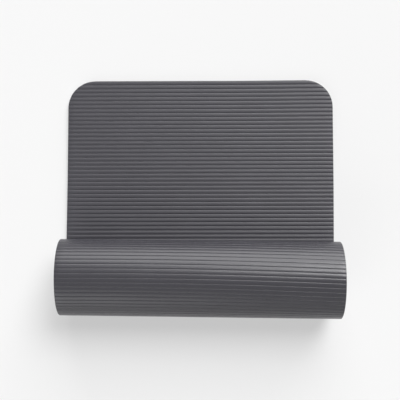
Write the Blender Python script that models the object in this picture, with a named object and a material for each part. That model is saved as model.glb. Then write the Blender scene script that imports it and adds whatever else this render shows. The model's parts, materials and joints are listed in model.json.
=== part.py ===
"""A ribbed foam pilates mat, partly rolled up: a flat leaf and a spiral roll that lies on its end."""
import math

import bmesh
import bpy
import numpy as np
from mathutils import Matrix

# Sheet
SHEET_WIDTH = 0.610
SHEET_THICKNESS = 0.0127
CORNER_RADIUS = 0.062

# Ribs
RIB_PITCH = 0.00935
GROOVE_DEPTH = 0.0013
FLANK_SHARE = 0.24

# Strips between living hinges, counted from the flat end
RIBS_PER_STRIP = 4
END_STRIP_RIBS = 5
LEAF_STRIPS = 12
TURN_STRIPS = 12
COIL_STRIPS = 25

# Roll
BORE_BEND_RADIUS = 0.0335
LAYER_GAP = 0.0006
LIFTED_RIBS = 1

# Hinges
CUT_GAP = 0.0003
FLOOR_CLEARANCE = 0.0004
WRAP_CLEARANCE = 0.0026

# Construction
CORNER_STEPS = 8
CUTTER_OVERRUN = 0.02
WELD_DISTANCE = 0.00001
FLAT_ANGLE = math.radians(0.5)
SOLVER_STEPS = 60
GAP_SAMPLES = 4

FOAM_COLOUR = (0.085, 0.085, 0.092, 1.0)
FOAM_ROUGHNESS = 0.62

HALF_WIDTH = SHEET_WIDTH / 2
HALF_THICKNESS = SHEET_THICKNESS / 2
STRIP_LENGTH = RIBS_PER_STRIP * RIB_PITCH
STRIPS = LEAF_STRIPS + TURN_STRIPS + COIL_STRIPS
# The radius of the bend falls by this much for each radian of turning.
SPIRAL_FALL = (SHEET_THICKNESS + LAYER_GAP) / (2 * math.pi)


def cut_places():
    """Distances along the sheet from the flat end to each cut, with both ends of the sheet."""
    ribs = [0, END_STRIP_RIBS]
    while len(ribs) <= STRIPS:
        ribs.append(ribs[-1] + RIBS_PER_STRIP)
    return [count * RIB_PITCH for count in ribs]


CUTS = cut_places()
SHEET_LENGTH = CUTS[-1]
FLAT_LENGTH = CUTS[LEAF_STRIPS] - LIFTED_RIBS * RIB_PITCH
ROLL_BEND_RADIUS = math.sqrt(BORE_BEND_RADIUS ** 2 + 2 * SPIRAL_FALL * (SHEET_LENGTH - FLAT_LENGTH))


def turning(along):
    """Angle that the sheet has turned through, as it rolls up, at a distance from its flat end."""
    rolled = max(along - FLAT_LENGTH, 0)
    return (ROLL_BEND_RADIUS - math.sqrt(ROLL_BEND_RADIUS ** 2 - 2 * SPIRAL_FALL * rolled)) / SPIRAL_FALL


def spiral_point(turn, clearance=0):
    """Y and Z of the middle of the sheet on the roll's involute, which runs on outwards below zero."""
    radius = ROLL_BEND_RADIUS + clearance - SPIRAL_FALL * turn
    y = -radius * math.sin(turn) + SPIRAL_FALL * (math.cos(turn) - 1)
    z = HALF_THICKNESS + ROLL_BEND_RADIUS - radius * math.cos(turn) - SPIRAL_FALL * math.sin(turn)
    return y, z


def sheet_point(along, above):
    """Y and Z of a point of the rolled mat from its place along and above the middle of the flat sheet."""
    if along <= FLAT_LENGTH:
        return FLAT_LENGTH - along, HALF_THICKNESS + above
    turn = turning(along)
    y, z = spiral_point(turn)
    return y + above * math.sin(turn), z + above * math.cos(turn)


def chord_heading(start, end, before=None):
    """Angle of a straight line between two points, turning up from -Y, no less than the one before."""
    heading = math.atan2(end[1] - start[1], start[0] - end[0])
    while before is not None and heading < before:
        heading += 2 * math.pi
    return heading


def unrolling_angles():
    """How far each hinge of the outer turn opens until that turn lies flat with the coil at its end."""
    places = CUTS[LEAF_STRIPS:LEAF_STRIPS + TURN_STRIPS + 1]
    headings = []
    for start, end in zip(places, places[1:]):
        before = headings[-1] if headings else None
        headings.append(chord_heading(sheet_point(start, 0), sheet_point(end, 0), before))
    headings.append(turning(places[-1]))
    # The strips keep their curl, so they lie on the floor at their middles and their hinges are higher.
    curl_height = STRIP_LENGTH ** 2 / (8 * ROLL_BEND_RADIUS) + FLOOR_CLEARANCE
    lying = [math.asin(curl_height / STRIP_LENGTH)] + [0] * TURN_STRIPS
    opened = [heading - left for heading, left in zip(headings, lying)]
    return [opened[0]] + [after - before for before, after in zip(opened, opened[1:])]


def wrapping_angles():
    """How far each hinge of the leaf closes until the leaf lies round the roll as its next layer."""
    place = sheet_point(CUTS[LEAF_STRIPS - 1], 0)
    turn = 0
    headings = []
    for _ in range(LEAF_STRIPS - 1):
        nearest = turn
        farthest = turn - 1
        for _ in range(SOLVER_STEPS):
            turn = (nearest + farthest) / 2
            y, z = spiral_point(turn, WRAP_CLEARANCE)
            if math.hypot(y - place[0], z - place[1]) > STRIP_LENGTH:
                farthest = turn
            else:
                nearest = turn
        heading = math.atan2(z - place[1], y - place[0])
        while headings and heading < headings[-1]:
            heading += 2 * math.pi
        headings.append(heading)
        place = y, z
    return [headings[0]] + [after - before for before, after in zip(headings, headings[1:])]


UNROLLING = unrolling_angles()
WRAPPING = wrapping_angles()


def hinge_travel(cut):
    """Travel of the hinge at a cut and the face, 1 upper or -1 lower, that it presses together."""
    if 0 < cut < LEAF_STRIPS:
        return WRAPPING[LEAF_STRIPS - 1 - cut], 1
    if LEAF_STRIPS <= cut <= LEAF_STRIPS + TURN_STRIPS:
        return UNROLLING[cut - LEAF_STRIPS], -1
    return 0, 1


def recess(cut, face):
    """Distance that a cut stands back at one face, so that its hinge can close there."""
    travel, pressed = hinge_travel(cut)
    if face != pressed:
        return 0
    return HALF_THICKNESS * math.tan(travel / 2)


def rib_level(along):
    """Height of the ribbed face over the middle of the sheet."""
    share = (along / RIB_PITCH) % 1
    to_groove = min(share, 1 - share)
    return HALF_THICKNESS - GROOVE_DEPTH * max(1 - to_groove / FLANK_SHARE, 0)


def face_stations(first, last):
    """Places along one face of a strip: its two ends and each groove and shoulder between them."""
    stations = [first]
    rib = math.floor(first / RIB_PITCH)
    while rib * RIB_PITCH < last:
        for share in (0, FLANK_SHARE, 1 - FLANK_SHARE):
            place = (rib + share) * RIB_PITCH
            if first + CUT_GAP < place < last - CUT_GAP:
                stations.append(place)
        rib += 1
    stations.append(last)
    return stations


def strip_outline(number, overrun=0):
    """Side outline of a strip of the flat sheet, as places along and above it."""
    first = CUTS[number]
    last = CUTS[number + 1]
    first_gap = -overrun if number == 0 else CUT_GAP / 2
    last_gap = -overrun if number == STRIPS - 1 else CUT_GAP / 2
    sides = {}
    for face in (-1, 1):
        start = first + first_gap + recess(number, face)
        end = last - last_gap - recess(number + 1, face)
        sides[face] = [(along, face * rib_level(along)) for along in face_stations(start, end)]
    outline = sides[-1]
    outline.append((last - last_gap, 0))
    outline.extend(reversed(sides[1]))
    outline.append((first + first_gap, 0))
    return outline


def sheet_outline():
    """Plan of the flat sheet with its four rounded corners, as places along and across it."""
    corners = (
        (CORNER_RADIUS, CORNER_RADIUS - HALF_WIDTH, 2),
        (SHEET_LENGTH - CORNER_RADIUS, CORNER_RADIUS - HALF_WIDTH, 3),
        (SHEET_LENGTH - CORNER_RADIUS, HALF_WIDTH - CORNER_RADIUS, 0),
        (CORNER_RADIUS, HALF_WIDTH - CORNER_RADIUS, 1),
    )
    points = []
    for along, across, quarter in corners:
        for step in range(CORNER_STEPS + 1):
            angle = (quarter + step / CORNER_STEPS) * math.pi / 2
            points.append((along + CORNER_RADIUS * math.cos(angle), across + CORNER_RADIUS * math.sin(angle)))
    return points


def extruded(name, outline, half_depth):
    """Closed mesh of a flat outline drawn out both ways from its plane."""
    curve = bpy.data.curves.new(name, "CURVE")
    curve.dimensions = "2D"
    curve.fill_mode = "BOTH"
    curve.extrude = half_depth
    spline = curve.splines.new("POLY")
    spline.points.add(len(outline) - 1)
    for point, (x, y) in zip(spline.points, outline):
        point.co = (x, y, 0, 1)
    spline.use_cyclic_u = True
    drawn = bpy.data.objects.new(name, curve)
    bpy.context.scene.collection.objects.link(drawn)
    graph = bpy.context.evaluated_depsgraph_get()
    mesh = bpy.data.meshes.new_from_object(drawn.evaluated_get(graph))
    bpy.data.objects.remove(drawn)
    bpy.data.curves.remove(curve)
    form = bmesh.new()
    form.from_mesh(mesh)
    bmesh.ops.remove_doubles(form, verts=form.verts, dist=WELD_DISTANCE)
    bmesh.ops.dissolve_limit(form, angle_limit=FLAT_ANGLE, verts=form.verts, edges=form.edges)
    bmesh.ops.recalc_face_normals(form, faces=form.faces)
    form.to_mesh(mesh)
    form.free()
    return mesh


def make_corner_cutter(collection):
    """Plan of the sheet as a thick plate, which the strips at both ends are trimmed to."""
    mesh = extruded("corner_cutter", sheet_outline(), HALF_THICKNESS + CUTTER_OVERRUN)
    # The outline is drawn along and across, and the strips keep across as their third axis.
    mesh.transform(Matrix.Rotation(math.pi / 2, 4, "X"))
    cutter = bpy.data.objects.new("corner_cutter", mesh)
    cutter.hide_render = True
    cutter.display_type = "WIRE"
    collection.objects.link(cutter)
    return cutter


def trimmed(mesh, cutter):
    """The part of a strip that lies inside the cutter."""
    whole = bpy.data.objects.new("whole_strip", mesh)
    bpy.context.scene.collection.objects.link(whole)
    cut = whole.modifiers.new("corners", "BOOLEAN")
    cut.operation = "INTERSECT"
    cut.object = cutter
    graph = bpy.context.evaluated_depsgraph_get()
    result = bpy.data.meshes.new_from_object(whole.evaluated_get(graph))
    bpy.data.objects.remove(whole)
    return result


def ribwise_split(mesh, number):
    """Divides a strip's side faces at each groove, so that they can follow a bend."""
    form = bmesh.new()
    form.from_mesh(mesh)
    groove = CUTS[number] + RIB_PITCH
    while groove < CUTS[number + 1] - CUT_GAP:
        everything = list(form.verts) + list(form.edges) + list(form.faces)
        bmesh.ops.bisect_plane(
            form, geom=everything, dist=WELD_DISTANCE, plane_co=(groove, 0, 0), plane_no=(1, 0, 0))
        groove += RIB_PITCH
    form.to_mesh(mesh)
    form.free()


def bent(mesh, pivot):
    """Moves each point of a flat strip to its place on the rolled mat, measured from a pivot."""
    for vertex in mesh.vertices:
        along, above, across = vertex.co
        y, z = sheet_point(along, above)
        vertex.co = (-across, y - pivot[0], z - pivot[1])
    mesh.update()


def foam_material(name):
    """Dark grey closed-cell foam skin."""
    material = bpy.data.materials.new(name)
    material.use_nodes = True
    shader = material.node_tree.nodes["Principled BSDF"]
    shader.inputs["Base Color"].default_value = FOAM_COLOUR
    shader.inputs["Roughness"].default_value = FOAM_ROUGHNESS
    shader.inputs["Metallic"].default_value = 0
    return material


def strip_name(number):
    """Name of a strip, by the group that it moves with."""
    if number < LEAF_STRIPS:
        return f"leaf_strip_{number + 1:02d}"
    if number < LEAF_STRIPS + TURN_STRIPS:
        return f"turn_strip_{number - LEAF_STRIPS + 1:02d}"
    return f"coil_strip_{number - LEAF_STRIPS - TURN_STRIPS + 1:02d}"


def strip_pivot(number):
    """Y and Z of the hinge that carries a strip, or of the fixed strip's own end."""
    if number < LEAF_STRIPS - 1:
        return sheet_point(CUTS[number + 1], 0)
    return sheet_point(CUTS[min(number, LEAF_STRIPS + TURN_STRIPS)], 0)


def make_strip(number, collection, cutter):
    """One strip of the mat between two cuts, with its ribs and its share of the rounded corners."""
    name = strip_name(number)
    if min(CUTS[number], SHEET_LENGTH - CUTS[number + 1]) < CORNER_RADIUS:
        oversize = extruded(name, strip_outline(number, CUTTER_OVERRUN), HALF_WIDTH + CUTTER_OVERRUN)
        mesh = trimmed(oversize, cutter)
    else:
        mesh = extruded(name, strip_outline(number), HALF_WIDTH)
    ribwise_split(mesh, number)
    pivot = strip_pivot(number)
    bent(mesh, pivot)
    mesh.name = name
    mesh.materials.clear()
    mesh.materials.append(foam_material(name))
    strip = bpy.data.objects.new(name, mesh)
    strip.location = (0, pivot[0], pivot[1])
    collection.objects.link(strip)
    return strip


def centre_on_base(strips):
    """Moves the mat so that the middle of its plan lies over the origin, and returns the shift."""
    reach = [(strip.location + vertex.co).y for strip in strips for vertex in strip.data.vertices]
    shift = -(min(reach) + max(reach)) / 2
    for strip in strips:
        strip.location.y += shift
    return shift


def bent_samples(number):
    """Points along the bent outline of a strip, a few on each straight stretch."""
    corners = [sheet_point(along, above) for along, above in strip_outline(number)]
    points = []
    for start, end in zip(corners, corners[1:] + corners[:1]):
        for step in range(GAP_SAMPLES):
            share = step / GAP_SAMPLES
            points.append((start[0] + share * (end[0] - start[0]), start[1] + share * (end[1] - start[1])))
    return np.array(points)


def least_layer_gap():
    """Least distance between strips that aren't neighbours along the sheet."""
    samples = [bent_samples(number) for number in range(STRIPS)]
    least = SHEET_LENGTH
    for number in range(STRIPS):
        for other in range(number + 2, STRIPS):
            apart = samples[number][:, None, :] - samples[other][None, :, :]
            least = min(least, float(np.sqrt((apart ** 2).sum(axis=2)).min()))
    return least


def print_hinges(shift):
    """Places and travels of all hinges, as the mat is stored."""
    for cut in range(1, LEAF_STRIPS + TURN_STRIPS + 1):
        y, z = sheet_point(CUTS[cut], 0)
        travel = math.degrees(hinge_travel(cut)[0])
        print(f"hinge {cut:2d}: y {y + shift:.6f} m, z {z:.6f} m, travel {travel:.4f} degrees")


def main():
    for thing in list(bpy.data.objects):
        bpy.data.objects.remove(thing)
    parts = bpy.data.collections.new("pilates_mat")
    cutters = bpy.data.collections.new("cutters")
    bpy.context.scene.collection.children.link(parts)
    bpy.context.scene.collection.children.link(cutters)
    cutter = make_corner_cutter(cutters)
    strips = [make_strip(number, parts, cutter) for number in range(STRIPS)]
    shift = centre_on_base(strips)
    print_hinges(shift)
    print(f"sheet {SHEET_LENGTH:.4f} m long, turned {turning(SHEET_LENGTH) / (2 * math.pi):.2f} times")
    print(f"least gap between layers {least_layer_gap() * 1000:.3f} mm")
    print(f"shift to the middle {shift:.6f} m")


main()
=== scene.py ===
import json
import math

import bmesh
import bpy
from mathutils import Matrix, Vector, noise


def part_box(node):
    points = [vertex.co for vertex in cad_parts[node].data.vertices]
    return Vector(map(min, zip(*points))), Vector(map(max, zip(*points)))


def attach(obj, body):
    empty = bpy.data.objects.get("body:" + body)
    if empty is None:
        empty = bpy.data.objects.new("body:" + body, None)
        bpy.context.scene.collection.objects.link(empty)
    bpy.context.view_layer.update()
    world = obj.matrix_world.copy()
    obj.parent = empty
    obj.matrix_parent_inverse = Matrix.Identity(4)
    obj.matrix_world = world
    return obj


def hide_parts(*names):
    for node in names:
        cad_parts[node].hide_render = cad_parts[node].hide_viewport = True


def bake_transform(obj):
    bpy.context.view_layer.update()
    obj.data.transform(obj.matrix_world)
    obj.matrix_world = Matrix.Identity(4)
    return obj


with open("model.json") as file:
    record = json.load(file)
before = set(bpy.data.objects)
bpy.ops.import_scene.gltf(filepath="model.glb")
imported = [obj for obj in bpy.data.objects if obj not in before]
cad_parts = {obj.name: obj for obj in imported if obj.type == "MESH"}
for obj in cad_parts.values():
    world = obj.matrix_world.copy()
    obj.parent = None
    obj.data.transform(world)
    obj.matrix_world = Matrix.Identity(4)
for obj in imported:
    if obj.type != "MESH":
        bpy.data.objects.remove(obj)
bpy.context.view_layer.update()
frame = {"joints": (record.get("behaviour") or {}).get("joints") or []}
scene = bpy.context.scene
scene.view_settings.view_transform = "Standard"

# the sheet, measured along its length from the flat end
sheet = {
    "ribPitch": 0.00935,
    "cornerRadius": 0.062,
    "edgeRounding": 0.0007,
    "stripRibs": 4,
    "endStripRibs": 5,
    "leafStrips": 12,
    "turnStrips": 12,
    "coilStrips": 25,
    "coilPieces": 3,
    "coilPieceStrips": 8,        # in each piece of the coil but the last, which has the rest
    "liftedRibs": 1,             # ribs that already rise with the roll, on the strip under it
    "stepsPerRib": 12,
    "leastStep": 0.00009,        # between two rows of the mesh
    "rowDigits": 7,              # decimals of a row's place
    "grooveDigits": 6,           # decimals that tell whether an edge lies in a groove
    "edgeSteps": 5,
    "widthSteps": 44,
    "coilWidthSteps": 22,
    "cornerStep": math.radians(6),
    "wallCuts": 3,
    "wallBulge": 0.0010,
    "onEdge": 1e-6,              # a point this near an edge of the sheet is on it
    "endMargin": 0.0002,         # a margin beside each piece's end faces, added to an inset in bendAcross that is not used
}

# the ribs of both faces; lower roundness is a flatter crest with narrower grooves
upperRibs = {
    "depth": 0.0012,
    "roundness": 0.38,
}

underRibs = {
    "depth": 0.0011,
    "roundness": 0.27,
}

roll = {
    "layerGap": 0.0006,
    "boreBendRadius": 0.0335,
    "cone": 0.0060,              # share by which the right end is wound looser, and the left end tighter
    "telescope": 0.0012,         # how far the layers stand out of the ends at most
    "telescopeTurn": 0.31,       # how quickly that changes with the angle
    "telescopeSeed": 7,
}

# the mat was rolled up a little askew, so the flat part isn't square to the roll
askew = {
    "slope": 0.0126,
    "start": 0.02,               # from this far before the roll the slope fades
    "length": 0.10,              # and over this length it is gone
}

# the ribs lag round the roll at its ends, most at the right
twist = {
    "lean": 0.0023,
    "bow": 0.0035,
    "shift": 0.0018,             # how far the roll lies to the right of where the sheet enters it
    "length": 0.13,              # all three come in over this length
}

# the free corner on the right hasn't quite lain down
liftedCorner = {
    "height": 0.001,
    "outward": 0.001,
    "reach": 0.24,
}

# the far end of the flat part lies a little to the right of where the sheet enters the roll
sway = {
    "shift": 0.0015,
    "length": 0.25,
}

unevenness = {
    "height": 0.00016,
    "size": 0.055,
}

lowCorner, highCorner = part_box("leaf_strip_08")
halfWidth = (highCorner.x - lowCorner.x) / 2
thickness = highCorner.z - lowCorner.z
halfThickness = thickness / 2
spiralFall = (thickness + roll["layerGap"]) / (2 * math.pi)
stripCount = sheet["leafStrips"] + sheet["turnStrips"] + sheet["coilStrips"]


def cutPlaces():
    ribs = [0, sheet["endStripRibs"]]
    while len(ribs) <= stripCount:
        ribs.append(ribs[-1] + sheet["stripRibs"])
    return [count * sheet["ribPitch"] for count in ribs]


cuts = cutPlaces()
sheetLength = cuts[-1]
flatLength = cuts[sheet["leafStrips"]] - sheet["liftedRibs"] * sheet["ribPitch"]
rollBendRadius = math.sqrt(roll["boreBendRadius"] ** 2 + 2 * spiralFall * (sheetLength - flatLength))


def sideView(along, above):
    # place in the side view, with the roll's tangent line at zero, and the angle turned there
    if along <= flatLength:
        return flatLength - along, halfThickness + above, 0.0
    rolled = along - flatLength
    turn = (rollBendRadius - math.sqrt(rollBendRadius ** 2 - 2 * spiralFall * rolled)) / spiralFall
    radius = rollBendRadius - spiralFall * turn
    y = -radius * math.sin(turn) + spiralFall * (math.cos(turn) - 1)
    z = halfThickness + rollBendRadius - radius * math.cos(turn) - spiralFall * math.sin(turn)
    return y + above * math.sin(turn), z + above * math.cos(turn), turn


hinges = {joint["name"]: joint for joint in frame["joints"]}
tangentY = hinges["unroll_01"]["pos_m"][1] - sideView(cuts[sheet["leafStrips"]], 0)[0]


def hingeMismatch():
    # how far the hinges of the frame lie from the middle of this sheet
    worst = 0
    for number in range(1, sheet["leafStrips"] + sheet["turnStrips"] + 1):
        if number < sheet["leafStrips"]:
            joint = hinges[f"roll_up_{sheet['leafStrips'] - number:02d}"]
        else:
            joint = hinges[f"unroll_{number - sheet['leafStrips'] + 1:02d}"]
        y, z, turn = sideView(cuts[number], 0)
        worst = max(worst, math.hypot(y + tangentY - joint["pos_m"][1], z - joint["pos_m"][2]))
    return worst


print(f"sheet {sheetLength:.3f} m, hinges within {hingeMismatch() * 1000:.4f} mm")


def smoothStep(value):
    share = min(max(value, 0), 1)
    return share * share * (3 - 2 * share)


def slantAt(along):
    # how much the sheet's cross lines slope there: fully in the flat part, and not at all round the roll
    squareFrom = flatLength + askew["length"] - askew["start"]
    return askew["slope"] * smoothStep((squareFrom - along) / askew["length"])


def woundAt(along):
    # from 0 where the sheet leaves the floor to 1 about a quarter turn on
    return smoothStep((along - flatLength) / twist["length"])


def lagAt(across, along):
    # how far the sheet lies behind the even spiral there
    share = across / halfWidth
    return (twist["lean"] * share + twist["bow"] * share ** 2) * woundAt(along)


def placeOnMat(flatPoint):
    # where a point of the flat sheet lies on the partly rolled mat
    across, along, above = flatPoint
    y, z, turn = sideView(along - lagAt(across, along), above)
    looseness = 1 + roll["cone"] * across / halfWidth * smoothStep(turn / math.pi)
    y *= looseness
    z *= looseness
    y += tangentY + slantAt(along) * across
    layer = Vector((turn * roll["telescopeTurn"], 0, roll["telescopeSeed"]))
    shift = roll["telescope"] * noise.noise(layer) * min(turn, 1)
    toCorner = math.hypot(halfWidth - across, along)
    lift = smoothStep(1 - toCorner / liftedCorner["reach"])
    z += liftedCorner["height"] * lift
    y += liftedCorner["outward"] * lift
    shift += sway["shift"] * smoothStep((flatLength - along) / sway["length"])
    shift += twist["shift"] * woundAt(along) - askew["slope"] * y
    return Vector((across + shift, y, z))


def ribDrop(along, ribs):
    # how far a face lies under its crests
    share = (along / sheet["ribPitch"]) % 1
    return ribs["depth"] * (1 - math.sin(math.pi * share) ** ribs["roundness"])


def halfWidthAt(along):
    radius = sheet["cornerRadius"]
    toEnd = min(along, sheetLength - along)
    if toEnd >= radius:
        return halfWidth
    return halfWidth - radius + math.sqrt(max(radius ** 2 - (radius - toEnd) ** 2, 0))


def edgeDrop(distance):
    # how far the rounding takes a face down at this distance from the sheet's edge
    radius = sheet["edgeRounding"]
    inward = max(radius - max(distance, 0), 0)
    return radius - math.sqrt(radius ** 2 - inward ** 2)


def alongStations(first, last):
    # rows of the mesh: closer together at the grooves, and round the corners at the ends
    pitch = sheet["ribPitch"]
    stations = set()
    for rib in range(round(first / pitch), round(last / pitch)):
        for step in range(sheet["stepsPerRib"] + 1):
            share = (1 - math.cos(math.pi * step / sheet["stepsPerRib"])) / 2
            stations.add(round((rib + share) * pitch, sheet["rowDigits"]))
    for base, direction in ((0, 1), (sheetLength, -1)):
        angle = sheet["cornerStep"]
        while angle < math.pi / 2:
            place = base + direction * sheet["cornerRadius"] * (1 - math.cos(angle))
            if first < place < last:
                stations.add(round(place, sheet["rowDigits"]))
            angle += sheet["cornerStep"]
        for step in range(1, sheet["edgeSteps"]):
            share = 1 - math.cos(math.pi / 2 * step / sheet["edgeSteps"])
            place = base + direction * sheet["edgeRounding"] * share
            if first < place < last:
                stations.add(round(place, sheet["rowDigits"]))
    ordered = sorted(stations)
    kept = [ordered[0]]
    for place in ordered[1:-1]:
        if place - kept[-1] > sheet["leastStep"]:
            kept.append(place)
    kept.append(ordered[-1])
    return kept


def acrossShares(widthSteps):
    # columns of the mesh as shares of the half width, closer together at both edges
    edge = sheet["edgeRounding"] / halfWidth
    turns = [math.pi / 2 * step / sheet["edgeSteps"] for step in range(sheet["edgeSteps"])]
    near = [edge * (1 - math.cos(turn)) for turn in turns]
    middle = [edge + (2 - 2 * edge) * step / widthSteps for step in range(widthSteps + 1)]
    return [-1 + s for s in near + middle] + [1 - s for s in reversed(near)]


def flatSlab(first, last, widthSteps):
    # a ribbed length of the flat sheet: across is x, along is y and above is z
    rows = alongStations(first, last)
    columns = acrossShares(widthSteps)
    form = bmesh.new()
    bmesh.ops.create_grid(form, x_segments=len(columns) - 1, y_segments=len(rows) - 1, size=0.5)
    for vertex in form.verts:
        column = round((vertex.co.x + 0.5) * (len(columns) - 1))
        row = round((vertex.co.y + 0.5) * (len(rows) - 1))
        along = rows[row]
        width = halfWidthAt(along)
        across = columns[column] * width
        toSide = width - abs(across)
        toEnd = min(along, sheetLength - along)
        rounding = edgeDrop(min(toSide, toEnd))
        vertex.co = (across, along, rounding + ribDrop(along, underRibs) - halfThickness)
    lower = set(form.verts)
    skin = set(form.faces)
    raised = bmesh.ops.extrude_face_region(form, geom=list(form.faces), use_keep_orig=True)["geom"]
    skin.update(item for item in raised if isinstance(item, bmesh.types.BMFace))
    for face in form.faces:
        face.material_index = 0 if face in skin else 1
    for item in raised:
        if isinstance(item, bmesh.types.BMVert):
            fall = ribDrop(item.co.y, upperRibs) - ribDrop(item.co.y, underRibs)
            item.co.z = -item.co.z - fall
    walls = [edge for edge in form.edges if (edge.verts[0] in lower) != (edge.verts[1] in lower)]
    bmesh.ops.subdivide_edges(form, edges=walls, cuts=sheet["wallCuts"], use_grid_fill=True)
    bmesh.ops.recalc_face_normals(form, faces=form.faces)
    return form


def bulgeWalls(form):
    # the cut edges stand out a little at mid-thickness
    sideFrom = sheet["cornerRadius"] / 3
    for vertex in form.verts:
        across, along, above = vertex.co
        reach = 1 - (above / halfThickness) ** 2
        toEnd = min(along, sheetLength - along)
        if halfWidthAt(along) - abs(across) < sheet["onEdge"] and toEnd > sideFrom:
            vertex.co.x += math.copysign(sheet["wallBulge"] * reach, across)
        elif along < sheet["onEdge"] or along > sheetLength - sheet["onEdge"]:
            vertex.co.y += math.copysign(sheet["wallBulge"] * reach, along - sheetLength / 2)


def bendFaces(form):
    # small unevenness of a moulded sheet: its faces aren't quite flat
    for vertex in form.verts:
        spot = Vector((vertex.co.x, vertex.co.y, 0)) / unevenness["size"]
        vertex.co.z += unevenness["height"] * noise.noise(spot) * vertex.co.z / halfThickness


def sharpenGrooves(form, first, last):
    # the shading breaks along the grooves of both faces
    ribs = range(round(first / sheet["ribPitch"]), round(last / sheet["ribPitch"]) + 1)
    grooves = [round(rib * sheet["ribPitch"], sheet["grooveDigits"]) for rib in ribs]
    levelWithin = halfThickness / 4
    for edge in form.edges:
        ends = [round(vertex.co.y, sheet["grooveDigits"]) for vertex in edge.verts]
        level = abs(edge.verts[0].co.z - edge.verts[1].co.z) < levelWithin
        if level and ends[0] == ends[1] and ends[0] in grooves:
            edge.smooth = False


def makePiece(name, first, last, widthSteps):
    form = flatSlab(first, last, widthSteps)
    bulgeWalls(form)
    bendFaces(form)
    place = form.verts.layers.float_vector.new("sheetPlace")
    sharpenGrooves(form, first, last)
    for face in form.faces:
        face.smooth = True
    for vertex in form.verts:
        vertex[place] = vertex.co.copy()
        vertex.co = placeOnMat(vertex.co)
    bmesh.ops.recalc_face_normals(form, faces=form.faces)
    mesh = bpy.data.meshes.new(name)
    form.to_mesh(mesh)
    form.free()
    piece = bpy.data.objects.new(name, mesh)
    scene.collection.objects.link(piece)
    mesh.materials.append(foamSkin)
    mesh.materials.append(cutFoam)
    return piece


def addNode(tree, kind, **settings):
    node = tree.nodes.new(kind)
    for name, value in settings.items():
        setattr(node, name, value)
    return node


grain = {
    "mottleDetail": 3,
    "mottleShare": 0.6,
    "poresFrom": 0.05,
    "poresTo": 0.45,
    "depth": 0.0002,
}


def foamGrainGroup():
    # fine cells of the foam: a height for bump, and a mask that rises from a cell's middle to its edge
    tree = bpy.data.node_groups.new("foamGrain", "ShaderNodeTree")
    tree.interface.new_socket("Place", in_out="INPUT", socket_type="NodeSocketVector")
    tree.interface.new_socket("Cells per metre", in_out="INPUT", socket_type="NodeSocketFloat")
    tree.interface.new_socket("Softness", in_out="INPUT", socket_type="NodeSocketFloat")
    tree.interface.new_socket("Height", in_out="OUTPUT", socket_type="NodeSocketFloat")
    tree.interface.new_socket("Pores", in_out="OUTPUT", socket_type="NodeSocketFloat")
    given = addNode(tree, "NodeGroupInput")
    put = addNode(tree, "NodeGroupOutput")
    cells = addNode(tree, "ShaderNodeTexVoronoi", feature="SMOOTH_F1")
    tree.links.new(given.outputs["Place"], cells.inputs["Vector"])
    tree.links.new(given.outputs["Cells per metre"], cells.inputs["Scale"])
    tree.links.new(given.outputs["Softness"], cells.inputs["Smoothness"])
    mottle = addNode(tree, "ShaderNodeTexNoise")
    tree.links.new(given.outputs["Place"], mottle.inputs["Vector"])
    tree.links.new(given.outputs["Cells per metre"], mottle.inputs["Scale"])
    mottle.inputs["Detail"].default_value = grain["mottleDetail"]
    height = addNode(tree, "ShaderNodeMath", operation="MULTIPLY_ADD")
    tree.links.new(mottle.outputs["Fac"], height.inputs[0])
    height.inputs[1].default_value = grain["mottleShare"]
    tree.links.new(cells.outputs["Distance"], height.inputs[2])
    tree.links.new(height.outputs[0], put.inputs["Height"])
    pores = addNode(tree, "ShaderNodeMapRange")
    tree.links.new(cells.outputs["Distance"], pores.inputs["Value"])
    pores.inputs["From Min"].default_value = grain["poresFrom"]
    pores.inputs["From Max"].default_value = grain["poresTo"]
    tree.links.new(pores.outputs["Result"], put.inputs["Pores"])
    return tree


foamGrain = foamGrainGroup()

skinFinish = {
    "colour": (0.0248, 0.0236, 0.0305, 1),
    "paleColour": (0.0345, 0.033, 0.0415, 1),
    "roughness": (0.44, 0.52),
    "underShine": 0.17,          # the underside has a smoother skin than the face one lies on
    "cellsPerMetre": 1500,
    "softness": 0.6,
    "bump": 0.35,
    "cloudsPerMetre": 14,
    "cloudDetail": 4,
}

edgeFinish = {
    "colour": (0.050, 0.050, 0.054, 1),
    "paleColour": (0.115, 0.115, 0.122, 1),
    "roughness": (0.75, 0.92),
    "cellsPerMetre": 900,
    "softness": 0.15,
    "bump": 0.9,
}


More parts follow.
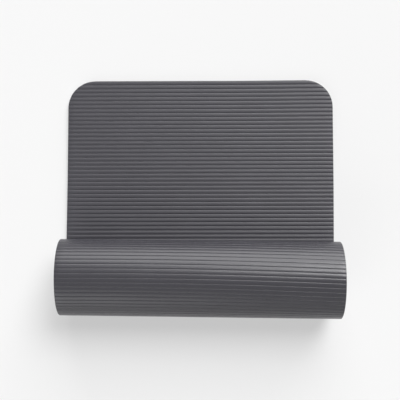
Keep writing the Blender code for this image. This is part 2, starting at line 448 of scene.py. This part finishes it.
def foamMaterial(name, finish):
    material = bpy.data.materials.new(name)
    material.use_nodes = True
    tree = material.node_tree
    shader = tree.nodes["Principled BSDF"]
    place = addNode(tree, "ShaderNodeAttribute", attribute_name="sheetPlace")
    cells = addNode(tree, "ShaderNodeGroup", node_tree=foamGrain)
    tree.links.new(place.outputs["Vector"], cells.inputs["Place"])
    cells.inputs["Cells per metre"].default_value = finish["cellsPerMetre"]
    cells.inputs["Softness"].default_value = finish["softness"]
    colour = addNode(tree, "ShaderNodeMix", data_type="RGBA")
    colour.inputs["A"].default_value = finish["colour"]
    colour.inputs["B"].default_value = finish["paleColour"]
    if "cloudsPerMetre" in finish:
        clouds = addNode(tree, "ShaderNodeTexNoise")
        tree.links.new(place.outputs["Vector"], clouds.inputs["Vector"])
        clouds.inputs["Scale"].default_value = finish["cloudsPerMetre"]
        clouds.inputs["Detail"].default_value = finish["cloudDetail"]
        blendOf = addNode(tree, "ShaderNodeMath", operation="MULTIPLY")
        tree.links.new(clouds.outputs["Fac"], blendOf.inputs[0])
        tree.links.new(cells.outputs["Pores"], blendOf.inputs[1])
        tree.links.new(blendOf.outputs[0], colour.inputs["Factor"])
    else:
        tree.links.new(cells.outputs["Pores"], colour.inputs["Factor"])
    tree.links.new(colour.outputs["Result"], shader.inputs["Base Color"])
    roughness = addNode(tree, "ShaderNodeMapRange")
    tree.links.new(cells.outputs["Pores"], roughness.inputs["Value"])
    roughness.inputs["To Min"].default_value = finish["roughness"][1]
    roughness.inputs["To Max"].default_value = finish["roughness"][0]
    if "underShine" in finish:
        parts = addNode(tree, "ShaderNodeSeparateXYZ")
        tree.links.new(place.outputs["Vector"], parts.inputs["Vector"])
        shine = addNode(tree, "ShaderNodeMapRange")
        tree.links.new(parts.outputs["Z"], shine.inputs["Value"])
        shine.inputs["From Min"].default_value = -halfThickness / 2
        shine.inputs["From Max"].default_value = halfThickness / 2
        shine.inputs["To Min"].default_value = finish["underShine"]
        shine.inputs["To Max"].default_value = 0
        smoother = addNode(tree, "ShaderNodeMath", operation="SUBTRACT")
        tree.links.new(roughness.outputs["Result"], smoother.inputs[0])
        tree.links.new(shine.outputs["Result"], smoother.inputs[1])
        tree.links.new(smoother.outputs[0], shader.inputs["Roughness"])
    else:
        tree.links.new(roughness.outputs["Result"], shader.inputs["Roughness"])
    bump = addNode(tree, "ShaderNodeBump")
    bump.inputs["Strength"].default_value = finish["bump"]
    bump.inputs["Distance"].default_value = grain["depth"]
    tree.links.new(cells.outputs["Height"], bump.inputs["Height"])
    tree.links.new(bump.outputs["Normal"], shader.inputs["Normal"])
    return material


foamSkin = foamMaterial("foamSkin", skinFinish)
cutFoam = foamMaterial("cutFoam", edgeFinish)
print("materials ready")


def middleOf(strip):
    # the groove nearest a strip's middle
    first = round(cuts[strip] / sheet["ribPitch"])
    last = round(cuts[strip + 1] / sheet["ribPitch"])
    return (first + last) // 2 * sheet["ribPitch"]


def nodeOf(strip):
    if strip < sheet["leafStrips"]:
        return f"leaf_strip_{strip + 1:02d}"
    if strip < sheet["leafStrips"] + sheet["turnStrips"]:
        return f"turn_strip_{strip - sheet['leafStrips'] + 1:02d}"
    return f"coil_strip_{strip - sheet['leafStrips'] - sheet['turnStrips'] + 1:02d}"


def bendAcross(piece, first, last):
    # works out where the piece would turn over the hinge between two strips, but only bakes the piece's
    # transform into its mesh; the ends and insets found here are not used
    startY, startZ, startTurn = sideView(first, 0)
    endY, endZ, endTurn = sideView(last, 0)
    start = Vector((0, startY + tangentY, startZ))
    end = Vector((0, endY + tangentY, endZ))
    halfTurn = (endTurn - startTurn) / 2
    towards = (end - start).normalized()
    inset = halfThickness * math.sin(halfTurn) + sheet["endMargin"]
    start += towards * (inset + slantAt(first) * halfWidth + lagAt(halfWidth, first))
    end -= towards * (inset + slantAt(last) * halfWidth + lagAt(halfWidth, last))
    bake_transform(piece)


def makeMat():
    hinged = sheet["leafStrips"] + sheet["turnStrips"]
    for strip in range(hinged):
        first = 0 if strip == 0 else middleOf(strip)
        last = middleOf(strip + 1)
        group = "leaf" if strip < sheet["leafStrips"] - 1 else "turn"
        piece = makePiece(f"{group}_skin_{strip + 1:02d}", first, last, sheet["widthSteps"])
        bendAcross(piece, middleOf(strip), last)
        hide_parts(nodeOf(strip))
    starts = [hinged + number * sheet["coilPieceStrips"] for number in range(sheet["coilPieces"])]
    for number, (firstStrip, lastStrip) in enumerate(zip(starts, starts[1:] + [stripCount])):
        first = middleOf(firstStrip)
        last = sheetLength if lastStrip == stripCount else middleOf(lastStrip)
        piece = makePiece(f"coil_skin_{number + 1}", first, last, sheet["coilWidthSteps"])
        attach(piece, "coil")
        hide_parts(*[nodeOf(strip) for strip in range(firstStrip, lastStrip)])


makeMat()
print("mat ready")

studio = {
    "floorSize": 14,
    "floorRoughness": 0.9,
    "floorShine": 0.1,
    "floorColour": (0.79, 0.79, 0.79, 1),
    "backgroundColour": (0.913, 0.913, 0.913, 1),
    "glowShare": 0.5,            # of the floor as the camera and mirrored rays see it
    "worldStrength": 0.2,        # for all other rays
    "lampDistance": 2,           # only a place for the lamps, as a sun shines alike from anywhere
}

keyLamp = {
    "from": (0.4, 0.57, 1.0),
    "strength": 2.1,
    "spread": math.radians(28),
}

backLamp = {
    "from": (0.5, 2.2, 1.0),
    "strength": 2.9,
    "spread": math.radians(56),
}

frontLamp = {
    "from": (-0.6, -1.0, 0.32),
    "strength": 1.35,
    "spread": math.radians(60),
}


def seenOrMirrored(tree):
    # 1 for rays from the camera and for mirrored ones
    path = addNode(tree, "ShaderNodeLightPath")
    either = addNode(tree, "ShaderNodeMath", operation="MAXIMUM")
    tree.links.new(path.outputs["Is Camera Ray"], either.inputs[0])
    tree.links.new(path.outputs["Is Glossy Ray"], either.inputs[1])
    return either.outputs[0]


def makeFloor():
    form = bmesh.new()
    bmesh.ops.create_grid(form, x_segments=1, y_segments=1, size=studio["floorSize"] / 2)
    mesh = bpy.data.meshes.new("floor")
    form.to_mesh(mesh)
    form.free()
    floor = bpy.data.objects.new("floor", mesh)
    scene.collection.objects.link(floor)
    material = bpy.data.materials.new("paleFloor")
    material.use_nodes = True
    tree = material.node_tree
    shader = tree.nodes["Principled BSDF"]
    shader.inputs["Base Color"].default_value = studio["floorColour"]
    shader.inputs["Roughness"].default_value = studio["floorRoughness"]
    shader.inputs["Specular IOR Level"].default_value = studio["floorShine"]
    glow = addNode(tree, "ShaderNodeEmission")
    glow.inputs["Color"].default_value = studio["backgroundColour"]
    share = addNode(tree, "ShaderNodeMath", operation="MULTIPLY")
    share.inputs[1].default_value = studio["glowShare"]
    mixed = addNode(tree, "ShaderNodeMixShader")
    tree.links.new(seenOrMirrored(tree), share.inputs[0])
    tree.links.new(share.outputs[0], mixed.inputs["Fac"])
    tree.links.new(shader.outputs[0], mixed.inputs[1])
    tree.links.new(glow.outputs[0], mixed.inputs[2])
    tree.links.new(mixed.outputs[0], tree.nodes["Material Output"].inputs["Surface"])
    mesh.materials.append(material)


def softLight(name, settings):
    lamp = bpy.data.lights.new(name, "SUN")
    lamp.energy = settings["strength"]
    lamp.angle = settings["spread"]
    light = bpy.data.objects.new(name, lamp)
    comesFrom = Vector(settings["from"])
    light.location = comesFrom * studio["lampDistance"]
    light.rotation_euler = comesFrom.to_track_quat("Z", "Y").to_euler()
    scene.collection.objects.link(light)


def makeWorld():
    world = bpy.data.worlds.new("paleRoom")
    scene.world = world
    world.use_nodes = True
    tree = world.node_tree
    background = tree.nodes["Background"]
    background.inputs["Color"].default_value = studio["backgroundColour"]
    strength = addNode(tree, "ShaderNodeMapRange")
    tree.links.new(seenOrMirrored(tree), strength.inputs["Value"])
    strength.inputs["To Min"].default_value = studio["worldStrength"]
    strength.inputs["To Max"].default_value = 1
    tree.links.new(strength.outputs["Result"], background.inputs["Strength"])


makeFloor()
makeWorld()
softLight("key", keyLamp)
softLight("back", backLamp)
softLight("front", frontLamp)

view = {
    "place": (0.02231, -0.14739, 1.89953),
    "tilt": (math.radians(4.238), math.radians(0.654), math.radians(0.621)),
    "focalPixels": 825.72,
    "frameWidth": 400,
    "sensor": 36,
}


def makeCamera():
    lens = bpy.data.cameras.new("camera")
    lens.sensor_width = view["sensor"]
    lens.lens = view["sensor"] * view["focalPixels"] / view["frameWidth"]
    camera = bpy.data.objects.new("camera", lens)
    turned = Matrix.Identity(4)
    for angle, axis in zip(view["tilt"], "XYZ"):
        turned = turned @ Matrix.Rotation(angle, 4, axis)
    camera.matrix_world = Matrix.Translation(view["place"]) @ turned
    scene.collection.objects.link(camera)
    scene.camera = camera


makeCamera()
print("studio ready")

bpy.context.view_layer.update()
